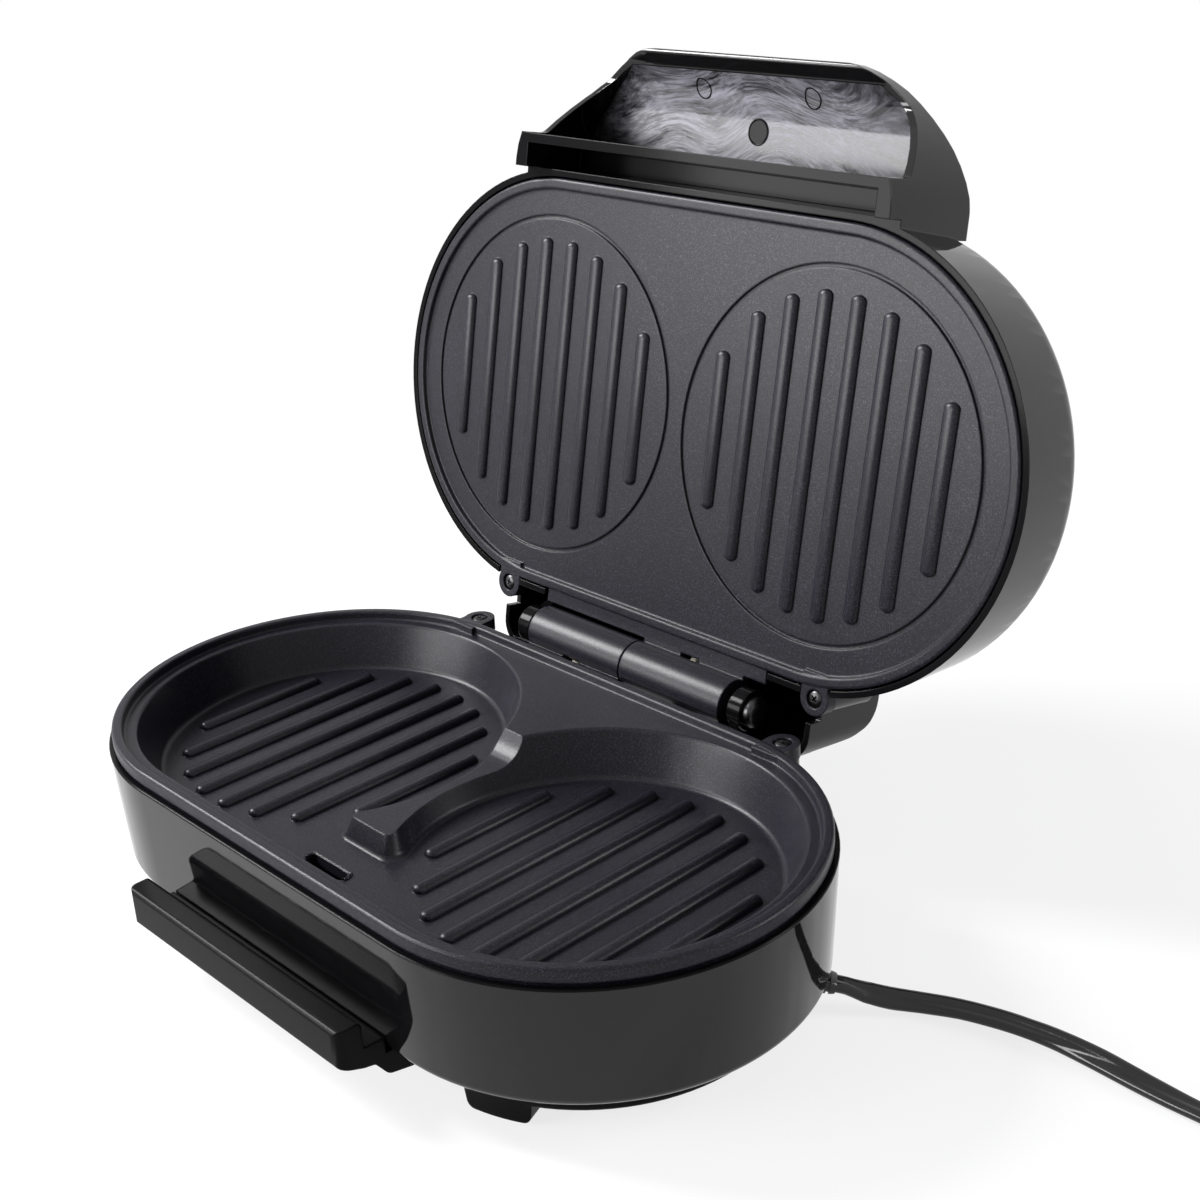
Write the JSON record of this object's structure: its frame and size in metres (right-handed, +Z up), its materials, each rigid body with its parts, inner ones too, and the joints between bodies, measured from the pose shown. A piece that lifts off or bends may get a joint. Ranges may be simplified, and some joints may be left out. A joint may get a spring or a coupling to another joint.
{
  "type": "breakfast sandwich maker",
  "caption": "Two-well breakfast sandwich maker with a stadium-shaped base and lid, non-stick plates, rear barrel hinge, handle hood and coiled flat cord",
  "frame": {"origin": "on the table, under the middle of the object without its cord", "axes": "+X along the row of wells, +Y towards the hinge, +Z up"},
  "size_m": [0.4621, 0.2331, 0.2442],
  "materials": {
    "gloss_black": "high-gloss black phenolic moulding",
    "satin_black": "satin black moulding",
    "nonstick": "satin charcoal non-stick coating on die-cast aluminium",
    "pad_rubber": "matt black rubber",
    "screw_steel": "zinc-plated steel",
    "dark_screw": "blackened steel",
    "element": "dull aluminium sheath",
    "ceramic": "glazed ceramic",
    "wire_sleeving": "glass-fibre sleeving",
    "cord_black": "black PVC",
    "brass_blade": "plain brass",
    "lens": "tinted clear plastic"
  },
  "bodies": {
    "base": {"base_housing": "gloss_black", "base_cover": "satin_black", "foot_pads": "pad_rubber", "cover_screws": "screw_steel", "lower_plate": "nonstick", "base_plate_screws": "dark_screw", "lower_heater": "element", "lower_heater_clamps": "screw_steel", "lower_clamp_screws": "screw_steel", "thermostat": "ceramic", "thermal_fuse": "ceramic", "terminal_block": "ceramic", "base_wires": "wire_sleeving", "wire_sleeve": "wire_sleeving", "right_hinge_pin": "dark_screw", "strain_relief": "cord_black", "power_cord": "cord_black", "cord_coil": "cord_black", "cord_tie": "cord_black", "plug_body": "cord_black", "plug_blades": "brass_blade"},
    "lid": {"lid_housing": "gloss_black", "upper_plate": "nonstick", "lid_plate_screws": "dark_screw", "left_hinge_pin": "dark_screw", "upper_heater": "element", "upper_heater_clamps": "screw_steel", "upper_clamp_screws": "screw_steel", "indicator_lenses": "lens", "indicator_lamps": "ceramic", "lid_wires": "wire_sleeving"}
  },
  "joints": [
    {"name": "lid_hinge", "type": "hinge", "parent": "base", "child": "lid", "pos_m": [0, 0.05057, 0.0567], "axis": [1, 0, 0], "range_deg": [0, 101.3]}
  ]
}
